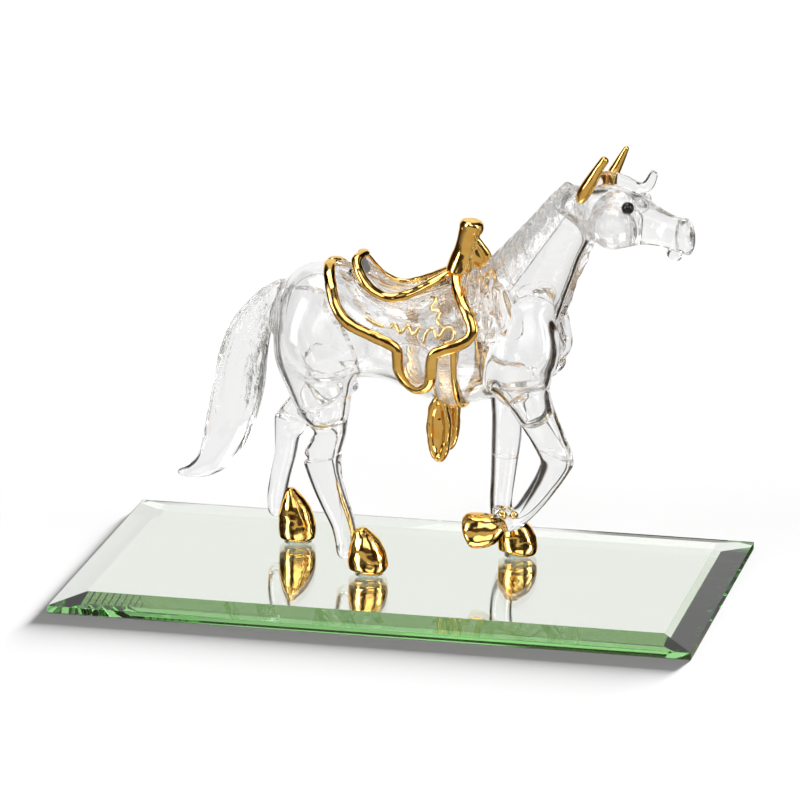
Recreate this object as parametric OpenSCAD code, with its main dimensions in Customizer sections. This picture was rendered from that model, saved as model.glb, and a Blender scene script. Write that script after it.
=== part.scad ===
// Lampworked glass horse with a gilded western saddle, standing on a bevelled mirror.
// Every gather of glass is its own solid: x runs towards the head, +y is the horse's left.

/* [Mirror base] */
// Length of the mirror plate
base_l = 228.6; // [200:0.1:260]
// Width of the mirror plate
base_w = 127; // [100:0.1:150]
// Thickness of the plate glass
glass_t = 5; // [4:0.5:8]
// Thickness of the silvering and its backing paint
backing_t = 0.3; // [0.2:0.1:0.6]
// Width of the ground bevel
bevel_w = 11.5; // [6:0.5:16]
// How far the bevel drops to the outer edge
bevel_drop = 2.5; // [1:0.25:3.5]

/* [Stance] */
// Distance of the horse's mid-plane from the middle of the plate
horse_y = 5; // [0:0.5:10]
// Thickness of the clear adhesive under each planted hoof
pad_t = 0.6; // [0.4:0.1:1]

/* [Details] */
// Radius of the black glass eyes
eye_r = 1.9; // [1.5:0.1:2.2]
// Radius of the gilded threads round the saddle
trim_r = 1.3; // [1:0.1:1.6]
// Radius of the gilded scrollwork threads
scroll_r = 0.8; // [0.6:0.1:1]
// Depth of the strand grooves in the tail
tail_groove = 0.7; // [0:0.1:1]
// Number of short locks along the crest of the neck
crest_locks = 11; // [8:1:14]

/* [Hidden] */

plate_top = backing_t + glass_t;
right = -1;
left = 1;
glass_tint = [0.90, 0.93, 0.93, 0.6];
gold_tint = [0.85, 0.62, 0.22];
jet_tint = [0.03, 0.03, 0.03];
mirror_tint = [0.80, 0.87, 0.85];

// Heights below are above the plate. A station is [x, y, z, half depth, half width]:
// the half depth lies in the horse's upright plane and the half width runs across it.

// Torso, in upright slices from the buttocks to the breast
torso_line = [
    [-48.5, 0, 87, 6, 6], [-45.5, 0, 86.5, 14, 12.5], [-39.5, 0, 86.8, 20.2, 17.5],
    [-31, 0, 87, 22, 19.5], [-20, 0, 87, 19.5, 18.5], [-11, 0, 85.5, 17, 18],
    [-3, 0, 83.5, 17, 18.5], [6, 0, 82, 19.5, 19.5], [16, 0, 82.5, 21.5, 20],
    [26, 0, 84.5, 22.5, 19.5], [36, 0, 85.5, 20.5, 18], [44, 0, 84, 17, 15.5],
    [50, 0, 82.5, 12.5, 11.5], [53.5, 0, 83, 6, 6]
];
// Neck, from inside the withers up to the poll
neck_line = [
    [34, 0, 92, 18, 13], [40.5, 0, 101.5, 16, 12], [47, 0, 112, 13.2, 10.5],
    [53, 0, 121.5, 11, 9], [58.5, 0, 130, 9.6, 8], [63.5, 0, 136.5, 8.6, 7]
];
// Head, in upright slices from the poll to the lips
head_line = [
    [63, 0, 135, 6, 5], [67, 0, 133.5, 10, 7.5], [72, 0, 132, 11.8, 8.6],
    [78, 0, 131.5, 10.8, 8.2], [84, 0, 130.5, 8.8, 6.8], [90, 0, 128.5, 7.2, 5.8],
    [95, 0, 126.5, 6.6, 5.4], [98.5, 0, 125.8, 6.2, 5.4]
];
// Tail, from the dock to the swept tip
tail_line = [
    [-44, 0, 99.5, 3.5, 3.5], [-51, 0, 94, 5, 4.5], [-57, 0, 84, 7.6, 6],
    [-60.5, 0, 72, 9.2, 6.5], [-62.3, 0, 61, 9.5, 6.5], [-64.8, 0, 50, 9, 6],
    [-68, 0, 40.5, 7.8, 5], [-73, 0, 32.8, 5.4, 4], [-79, 0, 29, 3, 2.6],
    [-84, 0, 28, 1.4, 1.4]
];
// Haunch: the thigh of the right side, above the seam with the gaskin
haunch_right_line = [
    [-34.5, -8, 97, 9, 7], [-33.5, -10.5, 89, 13, 9.5], [-31.5, -12.5, 80, 15, 10],
    [-29.5, -14, 71, 13.2, 9], [-27.5, -14.5, 61, 10.5, 7.6]
];
// Haunch of the left side, whose leg is further back
haunch_left_line = [
    [-34.5, 8, 97, 9, 7], [-33.5, 10.5, 89, 13, 9.5], [-32, 12.5, 80, 15, 10],
    [-31, 14, 71, 13, 9], [-30, 15, 65, 10.5, 8]
];
gaskin_right_line = [
    [-27.5, -14.5, 61, 10.5, 7.6], [-26, -14.5, 56, 7.8, 6.6], [-25.2, -14.5, 50.5, 5.6, 5.6],
    [-26.8, -14.5, 45.5, 6.2, 5.4], [-28.2, -14.6, 41, 7, 5.2]
];
gaskin_left_line = [
    [-30, 15, 65, 10.5, 8], [-35.5, 15.2, 58, 8, 7], [-41, 15.4, 51.5, 6.8, 6],
    [-46.5, 15.4, 45, 6.4, 5.4]
];
hind_cannon_right_line = [
    [-28.2, -14.6, 41, 7, 5.2], [-26.5, -14.8, 33.5, 5.9, 4.8], [-23.8, -15, 26, 5.2, 4.5],
    [-20.8, -15.2, 18.5, 4.5, 4.2], [-19.6, -15.3, 12.5, 4, 4], [-19.6, -15.3, 7.5, 3.4, 3.4]
];
hind_cannon_left_line = [
    [-47.6, 15.4, 46.5, 5.4, 5], [-48.3, 15.4, 40, 4.6, 4.6], [-49, 15.4, 33, 4, 4.1],
    [-50.8, 15.4, 25, 3.7, 3.8], [-52.2, 15.4, 17, 3.6, 3.6], [-52.4, 15.4, 11.5, 3.3, 3.2]
];
// Shoulder of the right side; the left one mirrors it
shoulder_line = [
    [47, -6, 99, 6, 6], [45, -8.5, 94, 11, 8], [42.5, -11, 84, 14, 9.5],
    [43, -13, 75, 12.5, 9], [45.5, -14, 69, 9, 7.8]
];
forearm_right_line = [
    [45.5, -14, 69, 8, 7.5], [49, -14.2, 61.5, 6.9, 6.4], [53, -14.3, 54, 6, 5.6],
    [56.4, -14.3, 47, 5.8, 5.2]
];
forearm_left_line = [
    [34, 14.5, 69, 9, 7.8], [32.8, 15.6, 61, 7, 6.6], [32.1, 16.2, 52, 5.7, 5.5],
    [31.7, 16.5, 44, 5.5, 5.1], [31.1, 16.8, 37, 5, 4.8]
];
fore_cannon_right_line = [
    [56.8, -14.3, 46.5, 5.8, 5.2], [53.4, -14.2, 39.5, 4.9, 4.5], [48.4, -14, 31.5, 4.2, 4],
    [43.2, -14, 25, 3.6, 3.7], [37.8, -14, 22.3, 4.2, 4.3]
];
fore_cannon_left_line = [
    [31.1, 16.8, 37, 5, 4.8], [30.4, 17, 29, 4.5, 4.4], [29.6, 17.2, 20, 4.1, 4.1],
    [30.2, 17.3, 13.5, 4.1, 4.1], [31.6, 17.4, 8, 3.8, 3.9]
];
// Hooves, from the sole up to the point at the front of the pastern
hoof_hind_right_line = [
    [-11.2, -15.4, 0.6, 5.4, 4.4], [-11.2, -15.4, 2, 6.9, 5.6], [-11.6, -15.4, 5, 6.8, 5.6],
    [-12.6, -15.4, 9, 5.2, 4.7], [-13.5, -15.4, 12.5, 3.4, 3.3], [-14.3, -15.4, 15, 1.5, 1.6]
];
hoof_hind_left_line = [
    [-44.6, 15.4, 0.6, 5.2, 4.4], [-44.6, 15.4, 2, 6.5, 5.6], [-44.8, 15.4, 6, 6.4, 5.6],
    [-45.8, 15.4, 11, 5, 4.8], [-46.8, 15.4, 15.5, 3, 3.2], [-47.6, 15.4, 19, 1.2, 1.4]
];
hoof_fore_left_line = [
    [35.9, 17.5, 0.6, 5.6, 4.4], [36, 17.5, 2, 7, 5.6], [35.6, 17.5, 4.5, 6.8, 5.6],
    [34.6, 17.5, 8, 5.4, 5], [33.8, 17.5, 11, 3.6, 3.8], [33.4, 17.5, 13, 1.6, 1.8]
];
hoof_fore_right_line = [
    [23.5, -14, 17.6, 4.6, 4.2], [24.8, -14, 17.9, 6.3, 5.4], [28, -14, 18.3, 6.5, 5.6],
    [31.5, -14, 19, 5.4, 4.8], [34.5, -14, 20.2, 3.9, 3.8], [37, -14, 21.5, 2, 2.2]
];
ear_right_line = [
    [62, -5.5, 138, 1.5, 1.8], [63.4, -5.8, 141, 2.3, 2.7], [66, -6, 145.5, 2, 2.4],
    [68.6, -6.1, 150, 1.6, 1.8], [70.6, -6.2, 153, 1.4, 1.4]
];
ear_left_line = [
    [68.4, 5.4, 139.2, 1.5, 1.8], [69.8, 5.6, 142.4, 2.3, 2.7], [72, 5.8, 146.8, 2, 2.4],
    [74.2, 5.9, 151.2, 1.5, 1.7], [75.8, 6, 154.4, 1.1, 1.2]
];
forelock_line = [
    [65.5, 0, 143, 2.4, 2.6], [70, 0, 145.2, 2.6, 3], [76, 0, 144.6, 2.2, 2.8],
    [81.5, 0, 142.4, 2, 2.3], [84.6, 0, 143.4, 1.9, 2], [86, 0, 146, 1.5, 1.6],
    [87, 0, 148.6, 1.1, 1.2]
];
horn_line = [
    [17.8, 0, 108.5, 4.6, 6], [18.8, 0, 112, 4.2, 4.6], [20.2, 0, 116, 3.8, 3.8],
    [21.2, 0, 120, 3.4, 3.4], [21.8, 0, 123, 3.3, 3.4], [22.3, 0, 124.6, 4.3, 4.4],
    [22.6, 0, 126.4, 4, 4.2]
];
// The seat's slices: [x, half width, height of the hollow, height of its edge]
seat_line = [
    [-19.5, 5, 112, 111.5], [-17, 8, 112.6, 111.5], [-13.5, 9.6, 106, 106.6],
    [-9, 10, 102, 102.2], [-4, 10, 101, 100.6], [2, 9.2, 102, 102],
    [8, 7.4, 104.2, 104.4], [13, 4.8, 107, 107.2], [16, 3, 108.4, 108.6]
];
// The gilded edge of the seat on the right side, from the cantle to the pommel
seat_edge = [
    [-16, 0, 113], [-17.8, -4.8, 111.8], [-15.8, -8.2, 107.8], [-12.2, -9.8, 103.4],
    [-7.7, -10.2, 100.8], [-3.2, -10.2, 100.3], [2.8, -9.4, 102.1], [8.3, -7.4, 104.9],
    [12.8, -4.6, 107.5], [16, 0, 109.2]
];
// Outlines on the torso: [x, degrees down from the spine]
skirt_outline = [
    [-27.5, 10], [-26, 36], [-22.5, 58], [-16.5, 72], [-8, 78], [0, 81], [8, 84],
    [16, 82], [22, 80], [25.6, 74], [25.6, 62], [22, 44], [17.5, 24], [14, 8], [-6, 4]
];
fender_outline = [
    [0.8, 80], [0.6, 92], [0.8, 108], [2.8, 121], [6, 127], [9.4, 122], [11.8, 110],
    [12.2, 96], [12.2, 84], [6, 76]
];
trim_path = [
    [-28.2, 0], [-27.2, 20], [-25.4, 38], [-23.4, 54], [-20.5, 67], [-16.6, 75],
    [-10, 79], [-4, 81], [-0.2, 85], [0.4, 94], [0.6, 110], [2.6, 123], [6, 129],
    [9.6, 123], [12, 111], [12.6, 97], [13.4, 87], [17, 83], [22, 81], [25.6, 77],
    [26.8, 70], [25.9, 61], [22.8, 46], [19, 27], [15.5, 8]
];
scroll_bar = [[-12, 62], [-7.8, 64], [-4.5, 65.5], [-1.6, 66]];
scroll_wave = [[-1.5, 58], [0.6, 67], [2.6, 57], [4.8, 67], [6.6, 59], [8.4, 70]];
scroll_hook = [
    [9.8, 77], [10.6, 66], [13, 63], [14.8, 72], [17.5, 64], [20.4, 67], [20.4, 75], [17, 77]
];
scroll_leaf = [[9.5, 28], [12.5, 33], [11, 43], [14.4, 47], [14, 56], [16.5, 63]];
// Where the girth strap begins and ends along x
girth_span = [13.6, 20.2];
// Distance of each stirrup from the mid-plane: right, then left
stirrup_places = [-9, 6];
// Long locks that hang over the shoulder: [x at the crest, x at the tip, tip angle, radius]
long_locks = [
    [22.5, 25, 64, 1.5], [26, 28.5, 70, 1.6], [29.5, 32.5, 74, 1.6], [33.5, 37, 68, 1.5]
];

// ---- Curves and skins ----

function unit(v) = v / norm(v);

function between(p0, p1, p2, p3, t) =
    0.5 * (2 * p1 + (p2 - p0) * t + (2 * p0 - 5 * p1 + 4 * p2 - p3) * t * t
        + (3 * p1 - p0 - 3 * p2 + p3) * t * t * t);

// A list of points or stations with steps smooth ones put in after each
function smooth(s, steps) =
    let (last = len(s) - 1)
    [
        for (i = [0 : last - 1])
            for (j = [0 : steps - 1])
                between(s[max(i - 1, 0)], s[i], s[i + 1], s[min(i + 2, last)], j / steps),
        s[last]
    ];

function smooth_loop(s, steps) =
    let (n = len(s))
    [
        for (i = [0 : n - 1])
            for (j = [0 : steps - 1])
                between(s[(i + n - 1) % n], s[i], s[(i + 1) % n], s[(i + 2) % n], j / steps)
    ];

function place(s) = [s[0], s[1], s[2]];

function heading(s, i) =
    unit(place(s[min(i + 1, len(s) - 1)]) - place(s[max(i - 1, 0)]));

// A ring of points round one station, square to direction d
function ring(st, d, across, sides, groove = 0, ridges = 9, twist = 0) =
    let (up = unit(cross(across, d)), out = cross(d, up))
    [
        for (k = [0 : sides - 1])
            let (
                a = 360 * k / sides,
                dent = groove * (cos(ridges * a + twist) - 1) / 2
            )
            place(st) + (st[3] + dent) * cos(a) * up + (st[4] + dent) * sin(a) * out
    ];

// Extra stations that close an end with a dome of the given length
function dome(st, d, length, steps = 3) =
    [
        for (i = [1 : steps])
            let (a = 88 * i / steps, p = place(st) + length * sin(a) * d)
            [p[0], p[1], p[2], st[3] * cos(a), st[4] * cos(a)]
    ];

function reversed(s) = [for (i = [len(s) - 1 : -1 : 0]) s[i]];

// Joins rings of equal count into one closed solid
module skin(rings, closed = false) {
    n = len(rings[0]);
    m = len(rings);
    spans = closed ? m : m - 1;
    sides = [
        for (i = [0 : spans - 1])
            for (k = [0 : n - 1])
                let (
                    a = i * n + k,
                    b = i * n + (k + 1) % n,
                    c = ((i + 1) % m) * n + (k + 1) % n,
                    d = ((i + 1) % m) * n + k
                )
                each [[a, c, b], [a, d, c]]
    ];
    caps = closed ? [] : [
        [for (k = [0 : n - 1]) k],
        [for (k = [n - 1 : -1 : 0]) (m - 1) * n + k]
    ];
    polyhedron(points = [for (r = rings) each r], faces = concat(sides, caps), convexity = 8);
}

// A solid along stations; along fixes every slice's direction, heads and tails are dome lengths
module loft(line, sides, steps = 2, head = 0, tail = 0, along = undef) {
    s = smooth(line, steps);
    last = len(s) - 1;
    first_d = along == undef ? heading(s, 0) : along;
    last_d = along == undef ? heading(s, last) : along;
    across = [0, 1, 0];
    skin([
        if (head > 0)
            for (st = reversed(dome(s[0], -first_d, head)))
                ring(st, first_d, across, sides),
        for (i = [0 : last])
            ring(s[i], along == undef ? heading(s, i) : along, across, sides),
        if (tail > 0)
            for (st = dome(s[last], last_d, tail))
                ring(st, last_d, across, sides)
    ]);
}

// A round thread through points, leaning on the point called centre
module thread(points, r, sides, centre, steps = 2, taper = 1) {
    p = smooth(points, steps);
    last = len(p) - 1;
    s = [
        for (i = [0 : last])
            let (q = r * (i == 0 || i == last ? 0.5 : 1) * (1 - (1 - taper) * i / last))
            [p[i][0], p[i][1], p[i][2], q, q]
    ];
    skin([
        for (i = [0 : last])
            ring(s[i], heading(s, i), unit(place(s[i]) - centre), sides)
    ]);
}

// ---- Places on the torso ----

torso_fine = smooth(torso_line, 4);
torso_mid = [for (s = torso_fine) [s[0], s[2]]];
torso_deep = [for (s = torso_fine) [s[0], s[3]]];
torso_wide = [for (s = torso_fine) [s[0], s[4]]];
torso_heart = [2, 0, 84];

// The point lift above the torso's skin at x, angle degrees down from the spine
function on_torso(x, angle, side, lift) = [
    x,
    side * (lookup(x, torso_wide) + lift) * sin(angle),
    lookup(x, torso_mid) + (lookup(x, torso_deep) + lift) * cos(angle)
];

// A sheet of glass pressed on the torso inside an outline; rise is its thickness
module patch(outline, side, rise) {
    rim = smooth_loop(outline, 2);
    count = len(rim);
    middle = [for (k = [0 : 1]) vsum(rim, k) / count];
    levels = concat(
        [for (f = [0.05, 0.5, 0.9]) [f, -0.8]],
        [[0.98, -0.6], [1, rise * 0.4], [0.98, rise * 0.8]],
        [for (f = [0.85, 0.6, 0.3, 0.05]) [f, rise]]
    );
    order = side == right ? [0 : count - 1] : [count - 1 : -1 : 0];
    skin([
        for (l = levels)
            [
                for (k = order)
                    let (q = middle + l[0] * (rim[k] - middle))
                    on_torso(q[0], q[1], side, l[1])
            ]
    ]);
}

function vsum(list, k, i = 0) = i == len(list) ? 0 : list[i][k] + vsum(list, k, i + 1);

// A gilded thread along a path of [x, angle] on the torso
module torso_thread(path, side, r, lift, sides = 6) {
    thread([for (q = path) on_torso(q[0], q[1], side, lift)], r, sides, torso_heart);
}

// ---- Places on the neck ----

neck_fine = smooth(neck_line, 4);

// The point at share t of the neck's length, angle degrees round from the crest to the right
function on_neck(t, angle, lift) =
    let (
        i = round(t * (len(neck_fine) - 1)),
        st = neck_fine[i],
        d = heading(neck_fine, i),
        crest = unit(cross(d, [0, 1, 0]))
    )
    place(st) + (st[3] + lift) * cos(angle) * crest - [0, (st[4] + lift) * sin(angle), 0];

// ---- Placing ----

module on_plate() {
    translate([0, horse_y, plate_top]) children();
}

module glass() {
    color(glass_tint) on_plate() children();
}

module gilt() {
    color(gold_tint) on_plate() children();
}

// ---- Base ----

module mirror_plate() {
    slope = atan2(bevel_drop, bevel_w);
    reach = bevel_w * 1.5;
    color(mirror_tint)
        difference() {
            translate([-base_l / 2, -base_w / 2, backing_t])
                cube([base_l, base_w, glass_t]);
            for (turn = [0 : 90 : 270])
                rotate(turn)
                    translate([(turn % 180 == 0 ? base_l : base_w) / 2 - bevel_w, 0, plate_top])
                        rotate([0, slope, 0])
                            translate([0, -base_l, 0])
                                cube([reach, 2 * base_l, reach]);
        }
}

module mirror_backing() {
    color("dimgray")
        translate([-base_l / 2, -base_w / 2, 0])
            cube([base_l, base_w, backing_t]);
}

module adhesive(hoof_line) {
    sole = hoof_line[0];
    glass()
        translate([sole[0], sole[1], 0])
            cylinder(h = pad_t, r = sole[4] + 0.6, $fn = 48);
}

// ---- Horse ----

module torso() {
    glass() loft(torso_line, 24, 2, 2.5, 2.5, [1, 0, 0]);
}

module haunch(line) {
    glass() loft(line, 16, 2, 5, 0);
}

module shoulder(side) {
    glass() scale([1, -side, 1]) loft(shoulder_line, 16, 2, 4, 0);
}

module neck() {
    glass() loft(neck_line, 20, 2, 0, 3);
}

module head() {
    glass() loft(head_line, 20, 2, 2.5, 2.5, [1, 0, 0]);
}

module cheek(side) {
    glass()
        translate([73, side * 5, 128])
            scale([1, 0.55, 1])
                sphere(r = 8.4, $fn = 20);
}

module muzzle_pad() {
    glass()
        translate([98.6, 0, 126.4])
            rotate([0, 84, 0])
                scale([1, 0.86, 0.45])
                    sphere(r = 6.4, $fn = 20);
}

module lower_lip() {
    glass()
        translate([95.2, 0, 118.8])
            rotate([0, 25, 0])
                scale([1.25, 1.1, 0.85])
                    sphere(r = 2.6, $fn = 16);
}

module brow(side) {
    glass()
        translate([83.2, side * 4.6, 137.4])
            sphere(r = 2.3, $fn = 24);
}

module eye(side) {
    color(jet_tint)
        on_plate()
            translate([79, side * 6.6, 136.6])
                sphere(r = eye_r, $fn = 32);
}

module ear(line) {
    gilt() loft(line, 10, 2, 1, 1.2);
}

module forelock() {
    glass() loft(forelock_line, 10, 2, 1.5, 1);
}

module mane_crest() {
    glass()
        for (i = [0 : crest_locks - 1])
            let (t = 0.12 + 0.84 * i / (crest_locks - 1), fall = 34 + 12 * (i % 3))
            thread([
                on_neck(min(t + 0.06, 1), -14, -1),
                on_neck(t, 0, 0.8),
                on_neck(max(t - 0.08, 0), fall * 0.5, 1),
                on_neck(max(t - 0.16, 0), fall, 0.7),
                on_neck(max(t - 0.2, 0), fall + 12, -0.4)
            ], 2.2, 6, [52, 0, 112], 2, 0.45);
}

module mane_locks() {
    glass()
        for (lock = long_locks)
            thread([
                on_torso(lock[0], 6, right, 3),
                on_torso(lock[0] + 0.8, 26, right, 2.2),
                on_torso(lock[1] - 1.6, 48, right, 1.6),
                on_torso(lock[1], lock[2], right, 1.2),
                on_torso(lock[1] + 2.2, lock[2] - 5, right, 1.2),
                on_torso(lock[1] + 1.6, lock[2] - 18, right, 1)
            ], lock[3], 6, torso_heart, 2, 0.6);
}

module tail() {
    s = smooth(tail_line, 2);
    last = len(s) - 1;
    across = [0, 1, 0];
    glass()
        skin([
            for (i = [0 : last])
                let (fade = max(0, 1 - i / (0.75 * last)))
                ring(s[i], heading(s, i), across, 36, tail_groove * fade, 9, 21 * i),
            for (st = dome(s[last], heading(s, last), 1.2))
                ring(st, heading(s, last), across, 36)
        ]);
}

module leg(line, head = 0, tail = 0) {
    glass() loft(line, 14, 2, head, tail);
}

module hoof(line) {
    gilt() loft(line, 16, 2, 0, 0.8);
}

// ---- Saddle ----

module skirt(side) {
    glass() patch(skirt_outline, side, 1.5);
}

module fender(side) {
    glass() patch(fender_outline, side, 1.9);
}

module seat() {
    s = smooth(seat_line, 2);
    wrap = 24;
    glass()
        skin([
            for (st = s)
                [
                    for (k = [0 : wrap - 1])
                        let (
                            a = -360 * k / wrap,
                            y = st[1] * sin(a),
                            top = st[2] + (st[3] - st[2]) * pow(y / st[1], 2),
                            share = min(1, max(0, 0.5 + 1.4 * cos(a))),
                            under = min(top - 1, lookup(st[0], torso_mid)
                                + lookup(st[0], torso_deep) * cos(asin(y / 20)) - 1.5)
                        )
                        [st[0], y, under + (top - under) * share]
                ]
        ]);
}

module seat_rim() {
    near = smooth(seat_edge, 2);
    last = len(near) - 1;
    loop = concat(near, [for (i = [last - 1 : -1 : 1]) [near[i][0], -near[i][1], near[i][2]]]);
    n = len(loop);
    centre = [-2, 0, 90];
    gilt()
        skin([
            for (i = [0 : n - 1])
                let (p = loop[i], d = unit(loop[(i + 1) % n] - loop[(i + n - 1) % n]))
                ring([p[0], p[1], p[2], trim_r, trim_r], d, unit(p - centre), 6)
        ], true);
}

module horn() {
    gilt() {
        loft(horn_line, 14, 2, 0, 1.2);
        thread([[23, 0, 121], [26, 0, 117.5], [28, 0, 113.5], [25, 0, 109.5]], 1.7, 8, [18, 0, 112]);
    }
}

module trim(side) {
    gilt() torso_thread(trim_path, side, trim_r, 1.1);
}

module girth() {
    strap = [for (a = [82 : 12 : 274]) a];
    bulge = [
        [girth_span[0], -0.8], [girth_span[0], 0.6], [girth_span[0] + 1.5, 1.1],
        [girth_span[1] - 1.5, 1.1], [girth_span[1], 0.6], [girth_span[1], -0.8]
    ];
    glass()
        skin([
            for (a = strap)
                [for (q = bulge) on_torso(q[0], a, left, q[1])]
        ]);
}

module girth_trim() {
    gilt() torso_thread([for (a = [82 : 16 : 274]) [20.4, a]], left, 1.1, 0.8);
}

module stirrup(y) {
    paddle = [
        [12.8, y, 64, 1.6, 1], [12.8, y, 60, 3, 1], [12.8, y, 53, 3.3, 1], [12.8, y, 46, 3.3, 1],
        [12.8, y, 43, 2.6, 1]
    ];
    rim = [for (a = [0 : 20 : 340]) [12.8 + 3 * sin(a), y, 53.2 + 11 * cos(a)]];
    n = len(rim);
    gilt() {
        loft(paddle, 10, 2);
        skin([
            for (i = [0 : n - 1])
                let (p = rim[i], d = unit(rim[(i + 1) % n] - rim[(i + n - 1) % n]))
                ring([p[0], p[1], p[2], 1.2, 1.7], d, [0, 1, 0], 8)
        ], true);
    }
}

module scrollwork(side) {
    gilt()
        for (path = [scroll_bar, scroll_wave, scroll_hook, scroll_leaf])
            torso_thread(path, side, scroll_r, 1.7, 5);
}

mirror_plate();
mirror_backing();
adhesive(hoof_hind_right_line);  // adhesive_hind_right
adhesive(hoof_hind_left_line);  // adhesive_hind_left
adhesive(hoof_fore_left_line);  // adhesive_fore_left
torso();
haunch(haunch_right_line);  // haunch_right
haunch(haunch_left_line);  // haunch_left
shoulder(right);  // shoulder_right
shoulder(left);  // shoulder_left
neck();
head();
cheek(right);  // cheek_right
cheek(left);  // cheek_left
muzzle_pad();
lower_lip();
brow(right);  // brow_right
brow(left);  // brow_left
eye(right);  // eye_right
eye(left);  // eye_left
ear(ear_right_line);  // ear_right
ear(ear_left_line);  // ear_left
forelock();
mane_crest();
mane_locks();
tail();
leg(gaskin_right_line);  // gaskin_right
leg(gaskin_left_line, 0, 4.5);  // gaskin_left
leg(hind_cannon_right_line, 0, 3);  // hind_cannon_right
leg(hind_cannon_left_line, 0, 3);  // hind_cannon_left
hoof(hoof_hind_right_line);  // hind_hoof_right
hoof(hoof_hind_left_line);  // hind_hoof_left
leg(forearm_right_line, 0, 4);  // forearm_right
leg(forearm_left_line);  // forearm_left
leg(fore_cannon_right_line, 4, 3);  // fore_cannon_right
leg(fore_cannon_left_line, 0, 2);  // fore_cannon_left
hoof(hoof_fore_right_line);  // fore_hoof_right
hoof(hoof_fore_left_line);  // fore_hoof_left
skirt(right);  // skirt_right
skirt(left);  // skirt_left
fender(right);  // fender_right
fender(left);  // fender_left
seat();
seat_rim();
horn();
trim(right);  // trim_right
trim(left);  // trim_left
girth();
girth_trim();
stirrup(stirrup_places[0]);  // stirrup_right
stirrup(stirrup_places[1]);  // stirrup_left
scrollwork(right);  // scrollwork_right
scrollwork(left);  // scrollwork_left
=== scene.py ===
"""Looks of a lampworked glass horse on a bevelled mirror.

The horse is melted from gathers of clear glass. Each gather is a loft of its own; all of them are
fused into one skin, so that the welds flow as melted glass does. Air is blown into the trunk, and
the skin is then cut back into the named pieces. The cut faces lie inside the glass and cannot be
seen, as a real weld cannot. The other pieces are made one by one.

Shapes are in millimetres on the horse's own axes: x towards the head, y to its left from its
mid-plane, z up from the mirror. TO_FRAME moves them into the row frame, in metres.
"""

import math

import bmesh
import bpy
import numpy as np
from mathutils import Matrix, Vector
from mathutils.bvhtree import BVHTree
from mathutils.noise import fractal


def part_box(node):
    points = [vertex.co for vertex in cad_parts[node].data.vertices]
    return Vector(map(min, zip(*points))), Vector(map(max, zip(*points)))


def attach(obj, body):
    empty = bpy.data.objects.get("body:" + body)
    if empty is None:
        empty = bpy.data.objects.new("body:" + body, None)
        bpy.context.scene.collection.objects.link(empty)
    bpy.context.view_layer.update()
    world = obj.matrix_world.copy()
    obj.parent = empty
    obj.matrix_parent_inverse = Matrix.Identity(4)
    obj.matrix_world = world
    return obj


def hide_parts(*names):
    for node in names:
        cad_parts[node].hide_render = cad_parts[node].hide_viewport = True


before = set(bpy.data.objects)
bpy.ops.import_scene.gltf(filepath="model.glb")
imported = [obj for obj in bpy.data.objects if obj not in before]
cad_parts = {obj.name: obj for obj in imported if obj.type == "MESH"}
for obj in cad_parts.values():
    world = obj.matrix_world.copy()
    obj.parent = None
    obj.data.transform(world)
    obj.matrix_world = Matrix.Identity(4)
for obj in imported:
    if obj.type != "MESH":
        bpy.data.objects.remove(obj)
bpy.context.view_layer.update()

MM = 0.001
RIGHT, LEFT = -1, 1

plate_low, plate_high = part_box("mirror_plate")
torso_low, torso_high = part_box("torso")
PLATE_TOP = plate_high.z
HORSE_Y = (torso_low.y + torso_high.y) / 2
TO_FRAME = Matrix.Translation((0, HORSE_Y, PLATE_TOP)) @ Matrix.Scale(MM, 4)

VOXEL = 0.45  # grain of the fused skin
FINE_VOXEL = 0.28  # grain of the small gilded pieces

# ---- stations
# A station is (x, y, z, half depth, half width): the half depth lies in the horse's upright plane
# and the half width runs across it.

TORSO = [
    (-48.5, 0, 87, 6, 6), (-45.5, 0, 86.5, 14, 12.5), (-39.5, 0, 86.8, 20.2, 17.5),
    (-31, 0, 87, 22, 19.5), (-20, 0, 87, 19.5, 18.5), (-11, 0, 85.5, 17, 18),
    (-3, 0, 83.5, 17, 18.5), (6, 0, 82, 19.5, 19.5), (16, 0, 82.5, 21.5, 20),
    (26, 0, 84.5, 22.5, 19.5), (36, 0, 85.5, 20.5, 18), (44, 0, 84, 17, 15.5),
    (50, 0, 82.5, 12.5, 11.5), (53.5, 0, 83, 6, 6),
]
NECK = [
    (34, 0, 92, 18, 13), (40.5, 0, 101.5, 16, 12), (47, 0, 112, 13.2, 10.5),
    (53, 0, 121.5, 11, 9), (58.5, 0, 130, 9.6, 8), (63.5, 0, 136.5, 8.6, 7),
]
HEAD = [
    (63, 0, 135, 6, 5), (67, 0, 133.5, 10, 7.5), (72, 0, 132, 11.8, 8.6),
    (78, 0, 131.5, 10.8, 8.2), (84, 0, 130.5, 8.8, 6.8), (90, 0, 128.5, 7.2, 5.8),
    (95, 0, 126.5, 6.6, 5.4), (98.5, 0, 125.8, 6.2, 5.4),
]
TAIL = [
    (-44, 0, 99.5, 3.5, 3.5), (-51, 0, 94, 5, 4.5), (-57, 0, 84, 7.6, 6),
    (-60.5, 0, 72, 9.2, 6.5), (-62.3, 0, 61, 9.5, 6.5), (-64.8, 0, 50, 9, 6),
    (-68, 0, 40.5, 7.8, 5), (-73, 0, 32.8, 5.4, 4), (-79, 0, 29, 3, 2.6), (-84, 0, 28, 1.4, 1.4),
]
HAUNCH_RIGHT = [
    (-34.5, -8, 97, 9, 7), (-33.5, -10.5, 89, 13, 9.5), (-31.5, -12.5, 80, 15, 10),
    (-29.5, -14, 71, 13.2, 9), (-27.5, -14.5, 61, 10.5, 7.6),
]
HAUNCH_LEFT = [
    (-34.5, 8, 97, 9, 7), (-33.5, 10.5, 89, 13, 9.5), (-32, 12.5, 80, 15, 10),
    (-31, 14, 71, 13, 9), (-30, 15, 65, 10.5, 8),
]
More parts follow.
